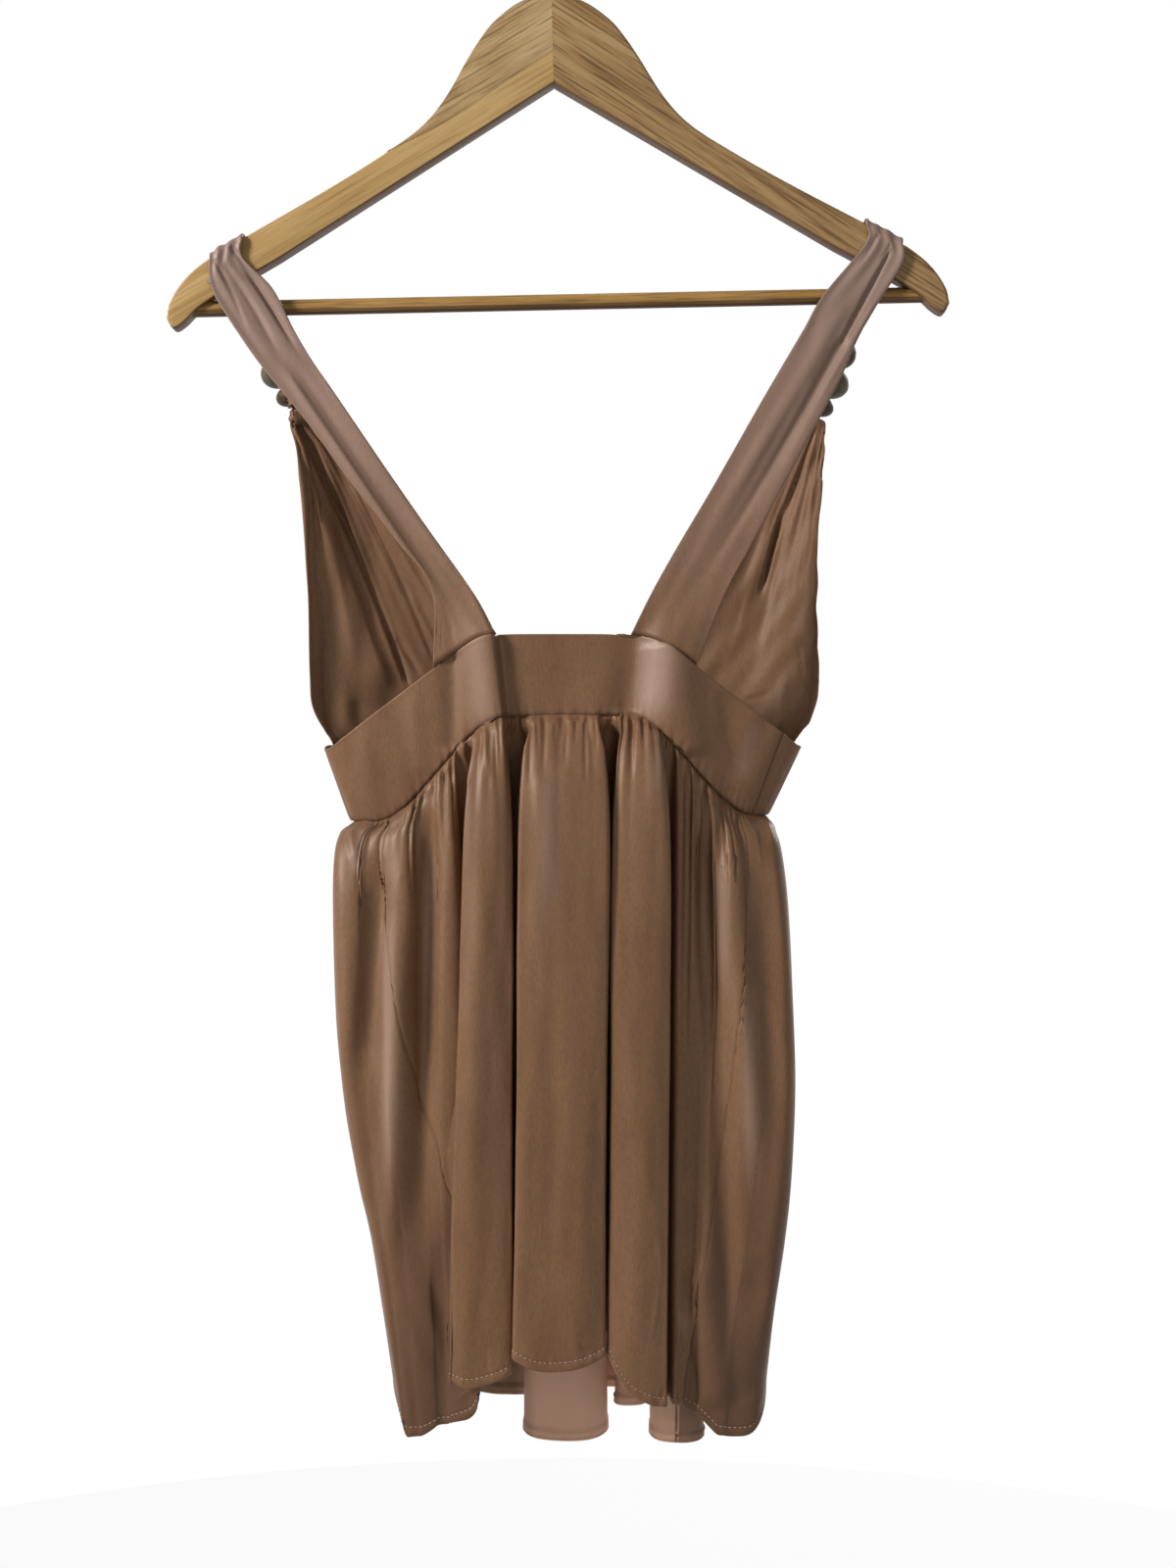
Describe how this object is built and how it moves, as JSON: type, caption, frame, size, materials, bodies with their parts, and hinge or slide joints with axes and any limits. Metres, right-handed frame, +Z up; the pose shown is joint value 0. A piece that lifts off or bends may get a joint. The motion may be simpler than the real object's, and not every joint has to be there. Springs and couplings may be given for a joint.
{
  "type": "halter dress on a wooden hanger",
  "caption": "Short halter dress with a deep V back, arched waistband, gathered skirt and beaded shoulder straps, hanging on a wooden trouser hanger.",
  "frame": {"origin": "inside top of the hanger's hook, where a rail holds it", "axes": "+Z up, -Y out of the back of the dress, +X to the right seen from its back"},
  "size_m": [0.4422, 0.106, 0.8874],
  "materials": {
    "hanger_arm_left": "waxed, satin",
    "hanger_arm_right": "waxed, satin",
    "hanger_bar": "waxed, satin",
    "hanger_hook": "plated wire",
    "back_band": "satin jersey",
    "skirt_back": "satin jersey",
    "skirt_side_left": "satin jersey",
    "skirt_side_right": "satin jersey",
    "strap_left": "satin jersey",
    "strap_right": "satin jersey",
    "front_band": "satin jersey, wrong side",
    "skirt_front": "satin jersey, wrong side",
    "cup_left": "satin jersey, wrong side",
    "cup_right": "satin jersey, wrong side",
    "bead_left_top": "polished resin, streaked",
    "bead_left_middle": "polished resin, streaked",
    "bead_left_bottom": "polished resin, streaked",
    "bead_right_top": "polished resin, streaked",
    "bead_right_middle": "polished resin, streaked",
    "bead_right_bottom": "polished resin, streaked"
  },
  "bodies": {
    "root": {"hanger_arm_left": "hanger_arm_left", "hanger_arm_right": "hanger_arm_right", "hanger_bar": "hanger_bar", "hanger_hook": "hanger_hook", "back_band": "back_band", "skirt_back": "skirt_back", "skirt_side_left": "skirt_side_left", "skirt_side_right": "skirt_side_right", "strap_left": "strap_left", "strap_right": "strap_right", "front_band": "front_band", "skirt_front": "skirt_front", "cup_left": "cup_left", "cup_right": "cup_right", "bead_left_top": "bead_left_top", "bead_left_middle": "bead_left_middle", "bead_left_bottom": "bead_left_bottom", "bead_right_top": "bead_right_top", "bead_right_middle": "bead_right_middle", "bead_right_bottom": "bead_right_bottom"}
  },
  "joints": []
}
